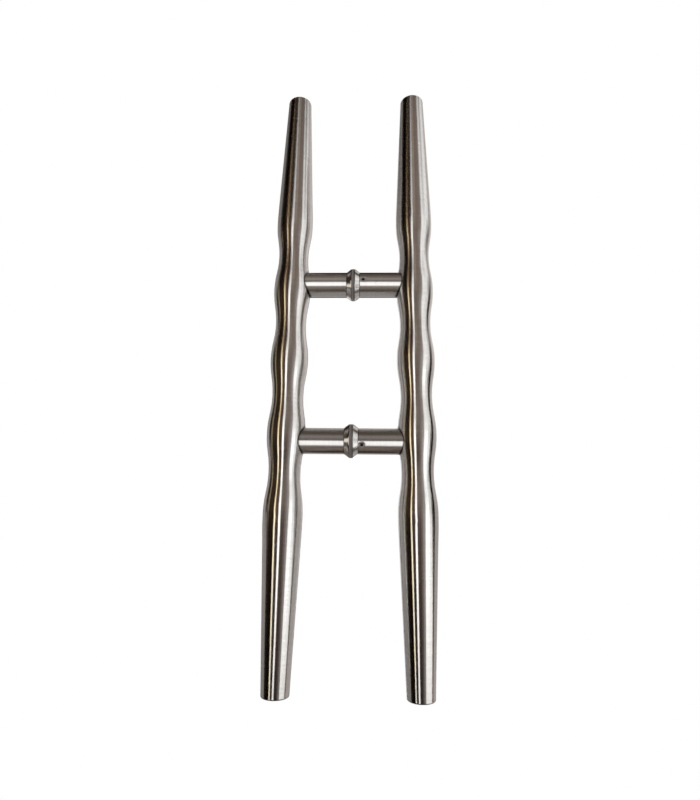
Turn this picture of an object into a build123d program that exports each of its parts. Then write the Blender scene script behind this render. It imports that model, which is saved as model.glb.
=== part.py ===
from build123d import *
from math import cos, radians, sin
import os

# Glass door pull handle: two waved, tapered steel bars, joined back to back through a glass door by two pairs
# of round posts. It is shown closed up with no glass, so the two gaskets of each clamp lie face to face.
#
# Millimetres. The origin is midway between the bars and midway up them, on the plane where the gaskets meet.
# +Z runs up the bars and +X from the left bar to the right bar. The grub screws face -Y.

# Bars
bar_length = 600
bar_spacing = 124
bar_wall = 1.5
swell_radius = 18.3
valley_radius = 14.9
tip_radius = 12.3
swell_pitch = 73.5
swell_count = 5
taper_angle = 2.4
cap_thickness = 2
cap_rim_radius = 1.5

# Posts
post_spacing = 160
post_radius = 12.5
post_bore_radius = 9.5
joint_chamfer = 0.25

# Gaskets and flared collars, measured outwards from the plane where the gaskets meet
gasket_radius = 16
gasket_hole_radius = 6
gasket_thickness = 1.5
gasket_rim_radius = 0.3
collar_radius = 15.8
collar_length = 5
collar_land = 0.6
collar_rim_radius = 0.4
spigot_length = 14

# Clamp bolts, M8 x 35 with a socket head
bolt_radius = 4
bolt_length = 35
bolt_clearance_radius = 4.5
bolt_head_radius = 6.5
bolt_head_height = 8
bolt_socket_width = 6
bolt_socket_depth = 4
bolt_chamfer = 0.8
counterbore_radius = 6.75
counterbore_depth = 11

# Grub screws, M6 x 4 with a hexagon socket
grub_radius = 3
grub_length = 4
grub_point_chamfer = 1.1
grub_socket_width = 3
grub_socket_depth = 2
grub_recess = 0.6
grub_mouth_radius = 3.5
countersink_angle = 90
grub_to_joint = 3.6
groove_side_gap = 0.1
upper_grub_tilt = 4
lower_grub_tilt = -24

# Places worked out from the sizes above
bar_offset = bar_spacing / 2
tube_end = bar_length / 2 - cap_thickness
half_pitch = swell_pitch / 2
shoulder_height = (swell_count - 1) * half_pitch
joint = gasket_thickness + collar_length
spigot_end = joint + spigot_length
grub_offset = joint + grub_to_joint
grub_top = post_radius - grub_recess
groove_floor_radius = grub_top - grub_length
side_signs = {"left": -1, "right": 1}
level_heights = {"upper": post_spacing / 2, "lower": -post_spacing / 2}
grub_tilts = {"upper": upper_grub_tilt, "lower": lower_grub_tilt}


def bar_plane(side):
    """Upright section plane through a bar's axis: local x is outwards from the axis, local y is up."""
    return Plane(origin=(side_signs[side] * bar_offset, 0, 0), x_dir=(1, 0, 0), z_dir=(0, -1, 0))


def post_section_plane(side, level):
    """Upright section plane along a post: local x runs from the gaskets to the bar, local y is up."""
    sign = side_signs[side]
    return Plane(origin=(0, 0, level_heights[level]), x_dir=(sign, 0, 0), z_dir=(0, -sign, 0))


def post_face_plane(side, level, distance):
    """Plane across a post, facing the bar, at a distance from where the gaskets meet."""
    sign = side_signs[side]
    return Plane(origin=(sign * distance, 0, level_heights[level]), x_dir=(0, 1, 0), z_dir=(sign, 0, 0))


def grub_plane(level, distance):
    """Plane across a grub screw, facing out of its hole, at a distance from the post's axis."""
    centre = Plane(origin=(grub_offset, 0, level_heights[level]), x_dir=(1, 0, 0), z_dir=(0, -1, 0))
    return centre.rotated((-grub_tilts[level], 0, 0)).offset(distance)


def bar_section(side, inset):
    """Half section of a bar between its caps, with its surface moved in by inset.

    Equal arcs make the swells and the valleys. The outermost swells are shoulders, where a gentle arc turns
    into the straight taper that ends at the tip.
    """
    mean_radius = (swell_radius + valley_radius) / 2 - inset
    tip = (tip_radius - inset, tube_end)
    angle = radians(taper_angle)
    drop = (tube_end - shoulder_height) * sin(angle) - (swell_radius - tip_radius) * cos(angle)
    blend_radius = drop / (1 - cos(angle))
    with BuildSketch(bar_plane(side)) as section:
        with BuildLine():
            for step in range(2 - swell_count, swell_count - 1):
                apex_radius = (valley_radius if step % 2 else swell_radius) - inset
                ThreePointArc(
                    (mean_radius, (step - 0.5) * half_pitch),
                    (apex_radius, step * half_pitch),
                    (mean_radius, (step + 0.5) * half_pitch),
                )
            shoulder = (swell_radius - inset, shoulder_height)
            rise = TangentArc(shoulder, (mean_radius, shoulder_height - half_pitch / 2), tangent=(0, -1))
            blend = JernArc(start=shoulder, tangent=(0, 1), radius=blend_radius, arc_size=taper_angle)
            taper = Line(blend @ 1, tip)
            mirror([rise, blend, taper], about=Plane.XZ)
            Polyline(tip, (0, tube_end), (0, -tube_end), (tip_radius - inset, -tube_end))
        make_face()
    return section.sketch


def solid_bar(side):
    """A bar's outer form, with no hollow."""
    with BuildPart() as bar:
        add(bar_section(side, 0))
        revolve(axis=bar_axes[side])
    return bar.part


def collar_blank(side, level):
    """Flared collar and spigot, turned but not yet bored."""
    with BuildPart() as blank:
        with BuildSketch(post_section_plane(side, level)):
            Polygon(
                (gasket_thickness, 0),
                (gasket_thickness, collar_radius),
                (gasket_thickness + collar_land, collar_radius),
                (joint, post_radius),
                (joint, post_bore_radius),
                (spigot_end, post_bore_radius),
                (spigot_end, 0),
                align=None,
            )
        revolve(axis=post_axes[level])
        seam = blank.edges().filter_by(GeomType.CIRCLE).group_by(SortBy.RADIUS)[-2]
        chamfer(seam, length=joint_chamfer)
        rim = blank.edges().filter_by(GeomType.CIRCLE).group_by(SortBy.RADIUS)[-1]
        fillet(rim, radius=collar_rim_radius)
    return blank.part


bar_axes = {side: Axis((sign * bar_offset, 0, 0), (0, 0, 1)) for side, sign in side_signs.items()}
post_axes = {level: Axis((0, 0, height), (1, 0, 0)) for level, height in level_heights.items()}
solid_bars = {side: solid_bar(side) for side in side_signs}

os.makedirs("parts", exist_ok=True)

# Waved tubes and the caps welded into line with them
for side in side_signs:
    with BuildPart() as bar:
        add(solid_bars[side])
        add(bar_section(side, bar_wall))
        revolve(axis=bar_axes[side], mode=Mode.SUBTRACT)
    bar.part.label = f"{side}_bar"
    export_step(bar.part, f"parts/{bar.part.label}.step")

    for end, up in {"top": 1, "bottom": -1}.items():
        tube_mouth = Plane(origin=(side_signs[side] * bar_offset, 0, up * tube_end), z_dir=(0, 0, up))
        with BuildPart() as cap:
            with BuildSketch(tube_mouth):
                Circle(tip_radius)
            extrude(amount=cap_thickness)
            outer_face = cap.faces().sort_by_distance(bar_plane(side).origin)[-1]
            fillet(outer_face.edges(), radius=cap_rim_radius)
        cap.part.label = f"{side}_{end}_cap"
        export_step(cap.part, f"parts/{cap.part.label}.step")

# Posts, coped to the bars, with a tapped and countersunk hole for the grub screw on the right
for side in side_signs:
    for level in level_heights:
        with BuildPart() as post:
            with BuildSketch(post_face_plane(side, level, joint)):
                Circle(post_radius)
            extrude(amount=bar_offset - joint)
            joint_face = post.faces().sort_by_distance(post_face_plane(side, level, 0).origin)[0]
            chamfer(joint_face.edges(), length=joint_chamfer)
            with BuildSketch(post_face_plane(side, level, joint)):
                Circle(post_bore_radius)
            extrude(amount=bar_offset - joint, mode=Mode.SUBTRACT)
            add(solid_bars[side], mode=Mode.SUBTRACT)
            if side == "right":
                with Locations(grub_plane(level, post_radius)):
                    CounterSinkHole(grub_radius, grub_mouth_radius, post_radius, countersink_angle)
        post.part.label = f"{side}_{level}_post"
        export_step(post.part, f"parts/{post.part.label}.step")

# Left collars, tapped for the clamp bolt
for level in level_heights:
    with BuildPart() as collar:
        add(collar_blank("left", level))
        with Locations(post_face_plane("left", level, spigot_end)):
            Hole(bolt_radius)
    collar.part.label = f"left_{level}_collar"
    export_step(collar.part, f"parts/{collar.part.label}.step")

# Right collars, counterbored for the bolt's head and grooved for the grub screw's point
groove_floor_half = grub_radius - grub_point_chamfer + groove_side_gap
groove_top_half = groove_floor_half + post_bore_radius - groove_floor_radius
for level in level_heights:
    with BuildPart() as collar:
        add(collar_blank("right", level))
        with Locations(post_face_plane("right", level, spigot_end)):
            CounterBoreHole(bolt_clearance_radius, counterbore_radius, counterbore_depth)
        with BuildSketch(post_section_plane("right", level)):
            Polygon(
                (grub_offset - groove_floor_half, groove_floor_radius),
                (grub_offset + groove_floor_half, groove_floor_radius),
                (grub_offset + groove_top_half, post_bore_radius),
                (grub_offset - groove_top_half, post_bore_radius),
                align=None,
            )
        revolve(axis=post_axes[level], mode=Mode.SUBTRACT)
    collar.part.label = f"right_{level}_collar"
    export_step(collar.part, f"parts/{collar.part.label}.step")

# Gaskets
for side in side_signs:
    for level in level_heights:
        with BuildPart() as gasket:
            with BuildSketch(post_face_plane(side, level, 0)):
                Circle(gasket_radius)
                Circle(gasket_hole_radius, mode=Mode.SUBTRACT)
            extrude(amount=gasket_thickness)
            rims = gasket.edges().filter_by(GeomType.CIRCLE).group_by(SortBy.RADIUS)[-1]
            fillet(rims, radius=gasket_rim_radius)
        gasket.part.label = f"{side}_{level}_gasket"
        export_step(gasket.part, f"parts/{gasket.part.label}.step")

# Clamp bolts: the head sits in the right collar, and the shank passes through the left one
head_seat = spigot_end - counterbore_depth
for level in level_heights:
    with BuildPart() as bolt:
        with BuildSketch(post_face_plane("right", level, head_seat)):
            Circle(bolt_head_radius)
        extrude(amount=bolt_head_height)
        with BuildSketch(post_face_plane("right", level, head_seat)):
            Circle(bolt_radius)
        extrude(amount=-bolt_length)
        chamfer(bolt.faces().sort_by(Axis.X)[0].edges(), length=bolt_chamfer)
        chamfer(bolt.faces().sort_by(Axis.X)[-1].edges(), length=bolt_chamfer)
        with BuildSketch(post_face_plane("right", level, head_seat + bolt_head_height)):
            RegularPolygon(bolt_socket_width / 2, 6, major_radius=False)
        extrude(amount=-bolt_socket_depth, mode=Mode.SUBTRACT)
    bolt.part.label = f"{level}_clamp_bolt"
    export_step(bolt.part, f"parts/{bolt.part.label}.step")

# Grub screws
for level in level_heights:
    with BuildPart() as screw:
        with BuildSketch(grub_plane(level, groove_floor_radius)):
            Circle(grub_radius)
        extrude(amount=grub_length)
        point_face = screw.faces().sort_by_distance(grub_plane(level, 0).origin)[0]
        chamfer(point_face.edges(), length=grub_point_chamfer)
        with BuildSketch(grub_plane(level, grub_top)):
            RegularPolygon(grub_socket_width / 2, 6, major_radius=False)
        extrude(amount=-grub_socket_depth, mode=Mode.SUBTRACT)
    screw.part.label = f"{level}_grub_screw"
    export_step(screw.part, f"parts/{screw.part.label}.step")
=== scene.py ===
import bpy
from math import cos, pi, radians, sin
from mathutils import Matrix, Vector


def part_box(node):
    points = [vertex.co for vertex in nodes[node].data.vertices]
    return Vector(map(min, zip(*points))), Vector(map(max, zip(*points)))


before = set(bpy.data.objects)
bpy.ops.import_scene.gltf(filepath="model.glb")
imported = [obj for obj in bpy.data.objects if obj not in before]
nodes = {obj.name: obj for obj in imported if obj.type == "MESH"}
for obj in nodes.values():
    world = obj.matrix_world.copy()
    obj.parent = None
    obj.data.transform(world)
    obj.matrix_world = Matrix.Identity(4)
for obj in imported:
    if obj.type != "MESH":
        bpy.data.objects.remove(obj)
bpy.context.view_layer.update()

# Camera, at the photograph's viewing angle: close by, below the middle and looking up
camera_place = (0.0161, -0.4871, -0.1579)
camera_turn = (103.6, -0.8, 1.9)
camera_lens = 23.43
nearest_seen = 0.01
furthest_seen = 100

# Floor, as far below the handle as under a door. It keeps the handle's shadow as far out as the shadow
# radius, and shows plain white beyond the white radius.
floor_height = -1.05
floor_radius = 40
floor_colour = (0.9, 0.9, 0.9, 1)
floor_roughness = 0.9
shadow_radius = 0.8
white_radius = 1.2

# Studio cards that the metal reflects: patches of a ball round the handle, at angles seen from its middle,
# with corners every so many degrees. Azimuth 0 is in front and 90 is on the right. They stand in three
# tiers, with a ground below and a ceiling above.
card_radius = 0.9
card_step = 6
WHITE = (1.0, 0.99, 0.97)
CREAM = (1.0, 0.93, 0.80)
GOLD = (1.0, 0.82, 0.42)
BRONZE = (1.0, 0.62, 0.32)
UMBER = (1.0, 0.60, 0.48)
BROWN = (1.0, 0.80, 0.66)
GREY = (1.0, 0.92, 0.87)
cards = {
    # name: (azimuth from, to, elevation from, to, colour, brightness at the foot, at the top)
    "low_back_wall": (-182, -160, -60, -8, GREY, 0.25, 0.38),
    "low_back_strip": (-160, -152, -60, -8, WHITE, 1.0, 1.4),
    "low_back_flag": (-152, -143, -60, -8, UMBER, 0.0, 0.05),
    "low_left_wall": (-143, -91, -60, -8, GREY, 0.22, 0.42),
    "low_black_flag": (-91, -46, -60, -8, UMBER, 0.0, 0.01),
    "low_gold_strip": (-46, -42, -60, -8, GOLD, 0.4, 3.0),
    "low_pale_strip": (-42, -38.5, -60, -8, WHITE, 1.8, 2.2),
    "low_thin_flag": (-38.5, -19, -60, -8, UMBER, 0.02, 0.07),
    "low_dark_wall": (-8, 13, -60, -8, UMBER, 0.0, 0.10),
    "low_frame_edge": (13, 25, -60, -8, BROWN, 0.0, 0.26),
    "low_frame": (25, 38, -60, -8, GREY, 0.12, 0.55),
    "low_window_foot": (38, 87, -60, -30, WHITE, 0.3, 1.65),
    "low_window": (38, 62, -30, -8, WHITE, 1.9, 1.9),
    "low_window_side_foot": (62, 87, -30, -18, WHITE, 1.65, 1.6),
    "low_window_side": (62, 78, -18, -8, WHITE, 1.6, 1.1),
    "low_dark_frame_foot": (87, 101, -60, -18, UMBER, 0.30, 0.16),
    "low_dark_frame": (78, 101, -18, -8, UMBER, 0.04, 0.0),
    "low_right_wall": (101, 148, -60, -8, GREY, 0.52, 0.48),
    "low_back_window": (148, 159, -60, -8, WHITE, 0.5, 0.8),
    "low_back_frame": (159, 166, -60, -8, UMBER, 0.02, 0.05),
    "low_back_light": (166, 178, -28, -8, WHITE, 2.4, 2.4),
    "low_back_shade": (166, 178, -60, -28, BROWN, 0.05, 0.15),
    "narrow_window_foot": (-19, -8, -60, -28, WHITE, 0.5, 2.0),
    "narrow_window": (-19, -8, -28, 4, WHITE, 2.0, 2.3),
    "narrow_window_top": (-19, -8, 4, 25, WHITE, 2.0, 1.6),
    "narrow_wall": (-15, -4, 25, 40, WHITE, 1.4, 1.3),
    "narrow_wall_top": (-15, -4, 40, 60, WHITE, 1.1, 0.35),
    "back_wall": (-182, -160, -8, 25, GREY, 0.38, 0.42),
    "back_strip": (-160, -152, -8, 25, WHITE, 1.4, 1.6),
    "back_flag": (-152, -143, -8, 25, UMBER, 0.05, 0.05),
    "left_wall": (-143, -110, -8, 25, GREY, 0.42, 0.44),
    "brown_edge": (-110, -89, -8, 25, UMBER, 0.0, 0.0),
    "gold_edge": (-89, -79, -8, 25, GOLD, 0.42, 0.28),
    "brown_flag": (-79, -45, -8, 25, UMBER, 0.08, 0.03),
    "gold_strip": (-45, -39, -8, 25, GOLD, 2.5, 1.6),
    "thin_flag": (-39, -19, -8, 25, UMBER, 0.16, 0.12),
    "brown_wall": (-8, 17, -8, 13, BROWN, 0.23, 0.24),
    "brown_wall_top": (-8, 28, 13, 25, BROWN, 0.24, 0.24),
    "frame_edge": (17, 28, -8, 13, GREY, 0.32, 0.28),
    "frame": (28, 41, -8, 13, GREY, 0.5, 0.45),
    "frame_top": (28, 48, 13, 25, GREY, 0.32, 0.32),
    "window": (41, 62, -8, 2, WHITE, 2.2, 2.0),
    "window_middle": (41, 64, 2, 13, WHITE, 1.6, 1.3),
    "window_top": (48, 64, 13, 25, WHITE, 1.2, 0.9),
    "window_side": (62, 77, -8, 5, WHITE, 0.85, 0.95),
    "dark_frame": (77, 102, -8, 5, UMBER, 0.0, 0.0),
    "window_edge": (64, 89, 5, 25, WHITE, 1.15, 1.1),
    "dark_frame_top": (89, 110, 5, 25, UMBER, 0.0, 0.03),
    "right_wall_foot": (102, 110, -8, 5, GREY, 0.45, 0.45),
    "right_wall": (110, 148, -8, 25, GREY, 0.48, 0.85),
    "back_window": (148, 159, -8, 25, WHITE, 0.8, 1.0),
    "back_frame": (159, 166, -8, 25, UMBER, 0.05, 0.04),
    "back_light": (166, 178, -8, 6, WHITE, 3.4, 3.4),
    "back_shade": (166, 178, 6, 25, BROWN, 0.12, 0.18),
    "high_back_wall": (-180, -160, 25, 60, GREY, 0.42, 0.3),
    "high_back_strip": (-160, -152, 25, 60, WHITE, 1.6, 0.5),
    "high_back_flag": (-152, -143, 25, 60, UMBER, 0.05, 0.0),
    "high_left_wall": (-143, -97, 25, 60, GREY, 0.46, 0.15),
    "high_black_flag": (-97, -60, 25, 60, UMBER, 0.005, 0.0),
    "high_brown_flag": (-60, -50, 25, 60, UMBER, 0.05, 0.01),
    "high_bronze_strip": (-50, -36, 25, 60, BRONZE, 0.45, 0.02),
    "high_thin_flag": (-36, -15, 25, 60, UMBER, 0.06, 0.02),
    "high_pale_wall": (-4, 14, 25, 60, BROWN, 0.27, 0.50),
    "high_brown_wall": (14, 49, 25, 60, BROWN, 0.26, 0.28),
    "high_window": (49, 64, 25, 60, WHITE, 1.6, 0.95),
    "high_window_side": (64, 80, 25, 60, WHITE, 1.6, 0.25),
    "high_right_wall_foot": (80, 106, 25, 36, WHITE, 0.1, 1.0),
    "high_right_wall": (80, 106, 36, 60, WHITE, 1.5, 1.0),
    "high_dim_wall": (106, 124, 25, 60, GREY, 0.5, 0.6),
    "high_pale_wall_side": (124, 148, 25, 60, GREY, 0.95, 0.75),
    "high_back_window": (148, 159, 25, 60, WHITE, 1.0, 0.8),
    "high_back_frame": (159, 180, 25, 60, BROWN, 0.2, 0.2),
    "front_ceiling": (-40, 90, 60, 90, BROWN, 0.12, 0.06),
    "black_ceiling": (-120, -40, 60, 90, UMBER, 0.0, 0.0),
    "back_ceiling": (90, 240, 60, 90, GREY, 0.5, 0.1),
    "front_ground": (-40, 90, -90, -60, BROWN, 0.05, 0.05),
    "black_ground": (-120, -40, -90, -60, UMBER, 0.0, 0.0),
    "back_ground": (90, 240, -90, -60, GREY, 0.10, 0.35),
}

# The posts, their screws and the left collars show none of those cards, but these: wedges of a ball just
# inside them. A wedge lies between two angles round the X axis, which go up from the front, and reaches so
# many degrees to each side.
wedge_radius = 0.88
wedge_reach = 85
wedges = {
    # pieces that show them: name: (angle from, to, colour, brightness)
    "upper_posts": {
        "back_band": (145, 190, WHITE, 1.1),
        "back": (103, 145, GREY, 0.40),
        "top": (73, 103, BROWN, 0.11),
        "high_wall": (51, 73, BROWN, 0.20),
        "high_frame": (31, 51, GREY, 0.34),
        "middle_wall": (11, 31, BROWN, 0.22),
        "band": (-24, 11, WHITE, 1.5),
        "frame": (-37, -24, GREY, 0.32),
        "wall": (-56, -37, BROWN, 0.24),
        "skirting": (-66, -56, BROWN, 0.15),
        "ground": (-86, -66, BROWN, 0.08),
        "back_ground": (-98, -86, BROWN, 0.20),
        "back_foot": (-155, -98, GREY, 0.33),
        "back_wall": (-170, -155, GREY, 0.50),
    },
    "lower_posts": {
        "back_band": (145, 190, WHITE, 1.1),
        "back": (103, 145, GREY, 0.42),
        "top": (85, 103, BROWN, 0.19),
        "high_wall": (45, 85, BROWN, 0.10),
        "high_frame": (34, 45, BROWN, 0.20),
        "middle_frame": (9, 34, GREY, 0.26),
        "middle_wall": (-13, 9, BROWN, 0.18),
        "band": (-51, -13, WHITE, 1.4),
        "frame": (-62, -51, GREY, 0.33),
        "wall": (-72, -62, BROWN, 0.14),
        "ground": (-94, -72, BROWN, 0.22),
        "back_ground": (-104, -94, BROWN, 0.13),
        "back_dark": (-125, -104, UMBER, 0.04),
        "back_foot": (-137, -125, BROWN, 0.13),
        "back_wall": (-170, -137, GREY, 0.45),
    },
    "left_collars": {
        "back_band": (172, 190, WHITE, 1.2),
        "top": (16, 172, UMBER, 0.04),
        "band": (-42, 16, CREAM, 1.2),
        "ground": (-110, -42, UMBER, 0.07),
        "back_ground": (-170, -110, BROWN, 0.20),
    },
}
wedge_pieces = {
    "upper_posts": ("left_upper_post", "right_upper_post", "upper_grub_screw"),
    "lower_posts": ("left_lower_post", "right_lower_post", "lower_grub_screw"),
    "left_collars": ("left_upper_collar", "left_lower_collar"),
}

# Ends between which noise mostly lies
noise_low = 0.2
noise_high = 0.8

# Brushed steel: the brushing's two grains, in strokes to the metre round the piece and along it, and slow
# cloudiness. A swing is how far the noise takes a value to each side of its middle.
bar_colour = (0.62, 0.61, 0.60)
bar_roughness = 0.2
bar_grain_depth = 0.000015
post_colour = (0.70, 0.695, 0.69)
post_roughness = 0.29
post_grain_depth = 0.000001
collar_colour = (0.62, 0.61, 0.60)
collar_roughness = 0.15
collar_grain_depth = 0.0000015
hair_grain = (90, 3200)
hair_swing = 0.06
stroke_grain = (16, 420)
stroke_swing = 0.05
cloud_grain = 38
cloud_swing = 0.06
roughness_swing = 0.015
grain_strength = 0.5
quarter_turn = 0.25

# Painted shade in crevices: colour darkened down to a shade where pieces meet and in holes. Each kind gives
# how much of its near surroundings a point sees in the crevice, and how much in the open.
crevice_width = 0.004
darkest_painted_crevice_shade = 0.01
crevice_samples = 16
outer_crevice = (0.66, 0.92)
socket_crevice = (0.3, 0.6)

# Waved bars, and the painted shade along the seam round each post where it meets one
bar_offset = 0.062
swell_radius = 0.0183
swell_height = 0.0034
swell_pitch = 0.0735
seam_core = 0.0003
seam_width = 0.0012
darkest_painted_seam_shade = 0.1

# Screws: bolts with a head, and grub screws without one, whose seat is put far beyond them
bolt_colour = (0.36, 0.35, 0.34)
bolt_pitch = 0.00125
bolt_head_height = 0.008
grub_colour = (0.55, 0.54, 0.53)
grub_pitch = 0.001
grub_head_seat = 1
thread_depth = 0.0005
thread_strength = 1
screw_grain = 900
screw_swing = 0.15
screw_roughness = 0.33
screw_roughness_swing = 0.07

# Gaskets of moulded rubber, with a parting line round the middle of the rim
# The left pair's rubber is a lighter copy of the right pair's: a painted highlight on their rims
highlit_left_gasket_colour = (0.15, 0.135, 0.125)
right_gasket_colour = (0.10, 0.088, 0.08)
gasket_roughness = 0.51
gasket_roughness_swing = 0.09
mottle_grain = 1400
mottle_detail = 3
mottle_swing = 0.2
mottle_depth = 0.000015
mottle_strength = 0.6
parting_place = 0.00075
parting_width = 0.00012
parting_tint = 0.35
parting_height = 2


def new_material(name):
    """Material with a principled shader: (material, its node tree, the shader)."""
    material = bpy.data.materials.new(name)
    material.use_nodes = True
    tree = material.node_tree
    return material, tree, tree.nodes["Principled BSDF"]


def feed(tree, socket, value):
    """Gives an input a number, or links a socket to it."""
    if isinstance(value, bpy.types.NodeSocket):
        tree.links.new(value, socket)
    else:
        socket.default_value = value


def math_node(tree, operation, *values):
    node = tree.nodes.new("ShaderNodeMath")
    node.operation = operation
    for socket, value in zip(node.inputs, values):
        feed(tree, socket, value)
    return node.outputs["Value"]


def vector_node(tree, operation, *values):
    """Vector math: its number for an operation that gives one, and its vector for the others."""
    node = tree.nodes.new("ShaderNodeVectorMath")
    node.operation = operation
    for socket, value in zip(node.inputs, values):
        feed(tree, socket, value)
    return node.outputs["Value" if operation in ("DOT_PRODUCT", "LENGTH") else "Vector"]


def map_range(tree, value, from_low, from_high, to_low, to_high, interpolation="LINEAR"):
    node = tree.nodes.new("ShaderNodeMapRange")
    node.interpolation_type = interpolation
    for socket, number in zip(node.inputs, (value, from_low, from_high, to_low, to_high)):
        feed(tree, socket, number)
    return node.outputs["Result"]


def split(tree, vector):
    """The three numbers of a vector."""
    node = tree.nodes.new("ShaderNodeSeparateXYZ")
    feed(tree, node.inputs["Vector"], vector)
    return node.outputs


def object_place(tree):
    """Where a point is on its object, in metres. A CAD node's own axes are the frame's."""
    return tree.nodes.new("ShaderNodeTexCoord").outputs["Object"]


def noise(tree, scale, detail=2):
    """Noise with so many swings to the metre along X, Y and Z."""
    texture = tree.nodes.new("ShaderNodeTexNoise")
    texture.inputs["Scale"].default_value = 1
    texture.inputs["Detail"].default_value = detail
    feed(tree, texture.inputs["Vector"], vector_node(tree, "MULTIPLY", object_place(tree), scale))
    return texture.outputs["Fac"]


def swung(tree, noise_value, middle, swing):
    """A value that noise takes to each side of its middle by up to a swing."""
    return map_range(tree, noise_value, noise_low, noise_high, middle - swing, middle + swing)


def grain(tree, axis, strokes):
    """Noise drawn out round an axis, as brushing on a turning bar leaves it."""
    across, along = strokes
    return noise(tree, [along if letter == axis else across for letter in "XYZ"])


def painted_crevice_shade(tree, sight):
    """Painted shade: 1 in the open, darkening the colour to its darkest where two pieces meet and in holes.
    """
    in_crevice, in_the_open = sight
    surroundings = tree.nodes.new("ShaderNodeAmbientOcclusion")
    surroundings.samples = crevice_samples
    surroundings.inputs["Distance"].default_value = crevice_width
    return map_range(tree, surroundings.outputs["AO"], in_crevice, in_the_open, darkest_painted_crevice_shade, 1)


def painted_seam_shade(tree):
    """Painted shade: 1 on a post, darkening to its darkest along the line where it meets its waved bar."""
    x, y, z = split(tree, object_place(tree))
    sideways = math_node(tree, "SUBTRACT", math_node(tree, "ABSOLUTE", x), bar_offset)
    sideways_squared = math_node(tree, "MULTIPLY", sideways, sideways)
    forwards_squared = math_node(tree, "MULTIPLY", y, y)
    from_axis = math_node(tree, "SQRT", math_node(tree, "ADD", sideways_squared, forwards_squared))
    wave = math_node(tree, "COSINE", math_node(tree, "MULTIPLY", z, 2 * pi / swell_pitch))
    bar_radius = math_node(tree, "MULTIPLY_ADD", wave, swell_height / 2, swell_radius - swell_height / 2)
    gap = math_node(tree, "SUBTRACT", from_axis, bar_radius)
    return map_range(tree, gap, seam_core, seam_width, darkest_painted_seam_shade, 1)


def tinted(tree, shader, colour, shades):
    """Gives a shader one colour, made lighter and darker by the shades."""
    total, *rest = shades
    for shade in rest:
        total = math_node(tree, "MULTIPLY", total, shade)
    feed(tree, shader.inputs["Base Color"], vector_node(tree, "MULTIPLY", colour, total))


def bumped(tree, shader, height, depth, strength):
    bump = tree.nodes.new("ShaderNodeBump")
    bump.inputs["Strength"].default_value = strength
    bump.inputs["Distance"].default_value = depth
    feed(tree, bump.inputs["Height"], height)
    feed(tree, shader.inputs["Normal"], bump.outputs[0])


def brushed_steel(name, axis, colour, roughness, grain_depth, with_painted_seam_shade=False):
    """Satin steel brushed round its axis, so that reflections are sharp round it and drawn out along it."""
    material, tree, shader = new_material(name)
    hairs = grain(tree, axis, hair_grain)
    strokes = grain(tree, axis, stroke_grain)
    clouds = noise(tree, [cloud_grain] * 3)
    shades = [
        swung(tree, hairs, 1, hair_swing),
        swung(tree, strokes, 1, stroke_swing),
        swung(tree, clouds, 1, cloud_swing),
        # painted shade where pieces meet
        painted_crevice_shade(tree, outer_crevice),
    ]
    # painted shade along the seam where a post meets its bar
    if with_painted_seam_shade:
        shades.append(painted_seam_shade(tree))
    tinted(tree, shader, colour, shades)
    feed(tree, shader.inputs["Roughness"], swung(tree, clouds, roughness, roughness_swing))
    bumped(tree, shader, math_node(tree, "ADD", hairs, strokes), grain_depth, grain_strength)
    shader.inputs["Metallic"].default_value = 1
    shader.inputs["Anisotropic"].default_value = 1
    shader.inputs["Anisotropic Rotation"].default_value = quarter_turn
    tangent = tree.nodes.new("ShaderNodeTangent")
    tangent.direction_type = "RADIAL"
    tangent.axis = axis
    feed(tree, shader.inputs["Tangent"], tangent.outputs["Tangent"])
    return material


def screw_steel(name, colour, direction, pitch, head_seat):
    """Plain steel, with a thread along one direction as far as the seat of the screw's head."""
    material, tree, shader = new_material(name)
    clouds = noise(tree, [screw_grain] * 3)
    shades = [
        swung(tree, clouds, 1, screw_swing),
        # painted shade in the screw's socket and hole
        painted_crevice_shade(tree, socket_crevice),
    ]
    tinted(tree, shader, colour, shades)
    feed(tree, shader.inputs["Roughness"], swung(tree, clouds, screw_roughness, screw_roughness_swing))
    shader.inputs["Metallic"].default_value = 1
    along = vector_node(tree, "DOT_PRODUCT", object_place(tree), direction)
    ridges = math_node(tree, "DIVIDE", math_node(tree, "PINGPONG", along, pitch / 2), pitch / 2)
    threaded = math_node(tree, "LESS_THAN", along, head_seat)
    bumped(tree, shader, math_node(tree, "MULTIPLY", ridges, threaded), thread_depth, thread_strength)
    return material


def gasket_rubber(name, colour):
    """Grey moulded rubber, faintly mottled, with a lighter parting line round the middle of its rim."""
    material, tree, shader = new_material(name)
    mottle = noise(tree, [mottle_grain] * 3, mottle_detail)
    outwards = math_node(tree, "ABSOLUTE", split(tree, object_place(tree))["X"])
    from_parting = math_node(tree, "ABSOLUTE", math_node(tree, "SUBTRACT", outwards, parting_place))
    parting = map_range(tree, from_parting, 0, parting_width, 1, 0)
    shades = [
        swung(tree, mottle, 1, mottle_swing),
        math_node(tree, "MULTIPLY_ADD", parting, parting_tint, 1),
        # painted shade where the gasket meets other pieces
        painted_crevice_shade(tree, outer_crevice),
    ]
    tinted(tree, shader, colour, shades)
    feed(tree, shader.inputs["Roughness"], swung(tree, mottle, gasket_roughness, gasket_roughness_swing))
    height = math_node(tree, "MULTIPLY_ADD", parting, parting_height, mottle)
    bumped(tree, shader, height, mottle_depth, mottle_strength)
    return material


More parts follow.
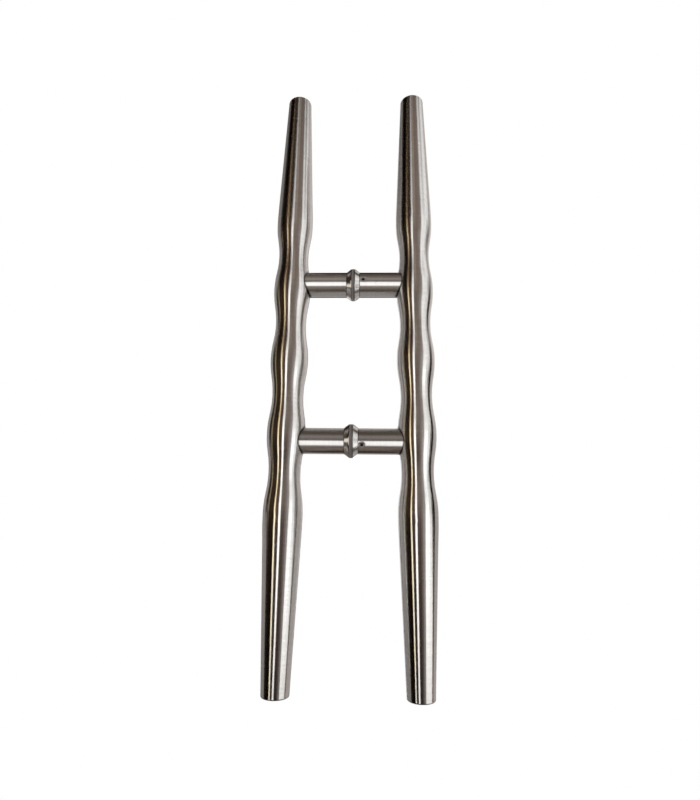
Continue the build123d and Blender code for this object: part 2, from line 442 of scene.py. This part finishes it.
def glow(name, colour, foot, top, clear):
    """Plain light of one colour, whose brightness runs from the foot of its card to the top.

    A clear card lets what is behind it shine through as well.
    """
    material = bpy.data.materials.new(name)
    material.use_nodes = True
    tree = material.node_tree
    tree.nodes.clear()
    height = split(tree, tree.nodes.new("ShaderNodeTexCoord").outputs["Generated"])["Z"]
    emission = tree.nodes.new("ShaderNodeEmission")
    emission.inputs["Color"].default_value = (*colour, 1)
    feed(tree, emission.inputs["Strength"], map_range(tree, height, 0, 1, foot, top))
    light = emission.outputs["Emission"]
    if clear:
        both = tree.nodes.new("ShaderNodeAddShader")
        transparent = tree.nodes.new("ShaderNodeBsdfTransparent")
        tree.links.new(light, both.inputs[0])
        tree.links.new(transparent.outputs["BSDF"], both.inputs[1])
        light = both.outputs["Shader"]
    output = tree.nodes.new("ShaderNodeOutputMaterial")
    tree.links.new(light, output.inputs["Surface"])
    return material


def add_mesh(name, points, faces, material):
    mesh = bpy.data.meshes.new(name)
    mesh.from_pydata(points, [], faces)
    mesh.materials.append(material)
    piece = bpy.data.objects.new(name, mesh)
    bpy.context.scene.collection.objects.link(piece)
    return piece


def add_card(name, place, radius, receivers, wedge=False):
    """Curved card, a patch of a ball round the handle, that only the receiving pieces show.

    Its place is a row of the cards' table. A wedge is clear, and its angles go round the X axis instead of
    the upright one.
    """
    left, right, low, high, colour, foot, top = place
    across = max(1, round((right - left) / card_step))
    upright = max(1, round((high - low) / card_step))
    points = []
    for column in range(across + 1):
        azimuth = radians(left + (right - left) * column / across)
        for row in range(upright + 1):
            elevation = radians(low + (high - low) * row / upright)
            point = radius * Vector((
                sin(azimuth) * cos(elevation),
                -cos(azimuth) * cos(elevation),
                sin(elevation),
            ))
            points.append(point.zyx if wedge else point)
    faces = []
    for column in range(across):
        for row in range(upright):
            corner = column * (upright + 1) + row
            faces.append((corner, corner + upright + 1, corner + upright + 2, corner + 1))
    card = add_mesh(name, points, faces, glow(name, colour, foot, top, clear=wedge))
    card.visible_camera = False
    card.visible_diffuse = False
    card.visible_shadow = False
    card.light_linking.receiver_collection = receivers


def group(name, names):
    """Collection of the nodes that show the same cards."""
    collection = bpy.data.collections.new(name)
    for node in names:
        collection.objects.link(nodes[node])
    return collection


def add_camera():
    data = bpy.data.cameras.new("camera")
    data.lens = camera_lens
    data.clip_start = nearest_seen
    data.clip_end = furthest_seen
    camera = bpy.data.objects.new("camera", data)
    camera.location = camera_place
    camera.rotation_euler = [radians(angle) for angle in camera_turn]
    bpy.context.scene.collection.objects.link(camera)
    bpy.context.scene.camera = camera


def add_floor():
    """Pale floor that keeps the handle's shadow under it, and shows plain white further off."""
    material, tree, shader = new_material("floor")
    shader.inputs["Base Color"].default_value = floor_colour
    shader.inputs["Roughness"].default_value = floor_roughness
    white = tree.nodes.new("ShaderNodeEmission")
    distance = vector_node(tree, "LENGTH", object_place(tree))
    far = map_range(tree, distance, shadow_radius, white_radius, 0, 1, "SMOOTHSTEP")
    rays = tree.nodes.new("ShaderNodeLightPath").outputs
    seen = math_node(tree, "MAXIMUM", rays["Is Camera Ray"], rays["Is Glossy Ray"])
    seen = math_node(tree, "MAXIMUM", seen, rays["Is Transmission Ray"])
    mix = tree.nodes.new("ShaderNodeMixShader")
    tree.links.new(math_node(tree, "MULTIPLY", seen, far), mix.inputs["Fac"])
    tree.links.new(shader.outputs["BSDF"], mix.inputs[1])
    tree.links.new(white.outputs["Emission"], mix.inputs[2])
    tree.links.new(mix.outputs["Shader"], tree.nodes["Material Output"].inputs["Surface"])
    r = floor_radius
    floor = add_mesh("floor", [(-r, -r, 0), (r, -r, 0), (r, r, 0), (-r, r, 0)], [(0, 1, 2, 3)], material)
    floor.location.z = floor_height


def add_world():
    world = bpy.data.worlds.new("world")
    world.use_nodes = True
    background = world.node_tree.nodes["Background"]
    background.inputs["Color"].default_value = (1, 1, 1, 1)
    background.inputs["Strength"].default_value = 1
    bpy.context.scene.world = world


add_camera()
add_world()
add_floor()

with_wedges = set()
for pieces, names in wedge_pieces.items():
    with_wedges.update(names)
    receivers = group(pieces, names)
    for part, (start, end, colour, brightness) in wedges[pieces].items():
        place = (start, end, -wedge_reach, wedge_reach, colour, brightness, brightness)
        add_card(f"{pieces}_{part}", place, wedge_radius, receivers, wedge=True)
others = group("others", [name for name in nodes if name not in with_wedges])
for name, place in cards.items():
    add_card(name, place, card_radius, others)

steel_bar = brushed_steel("steel_bar", "Z", bar_colour, bar_roughness, bar_grain_depth)
# the posts carry the painted shade along their seams
steel_post = brushed_steel("steel_post", "X", post_colour, post_roughness, post_grain_depth, with_painted_seam_shade=True)
steel_collar = brushed_steel("steel_collar", "X", collar_colour, collar_roughness, collar_grain_depth)
bolt_head_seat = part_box("upper_clamp_bolt")[1].x - bolt_head_height
clamp_bolt = screw_steel("clamp_bolt", bolt_colour, (1, 0, 0), bolt_pitch, bolt_head_seat)
grub_screw = screw_steel("grub_screw", grub_colour, (0, -1, 0), grub_pitch, grub_head_seat)
# the left gaskets' lighter rubber is a painted highlight
highlit_left_gasket = gasket_rubber("highlit_left_gasket", highlit_left_gasket_colour)
right_gasket = gasket_rubber("right_gasket", right_gasket_colour)
finishes = {
    # ending of a node's name: finish
    "bar": steel_bar,
    "cap": steel_bar,
    "post": steel_post,
    "collar": steel_collar,
    "clamp_bolt": clamp_bolt,
    "grub_screw": grub_screw,
    "left_upper_gasket": highlit_left_gasket,
    "left_lower_gasket": highlit_left_gasket,
    "right_upper_gasket": right_gasket,
    "right_lower_gasket": right_gasket,
}
for name, node in nodes.items():
    ending = next(ending for ending in finishes if name.endswith(ending))
    for slot in node.material_slots:
        slot.material = finishes[ending]

bpy.context.scene.view_settings.view_transform = "Standard"
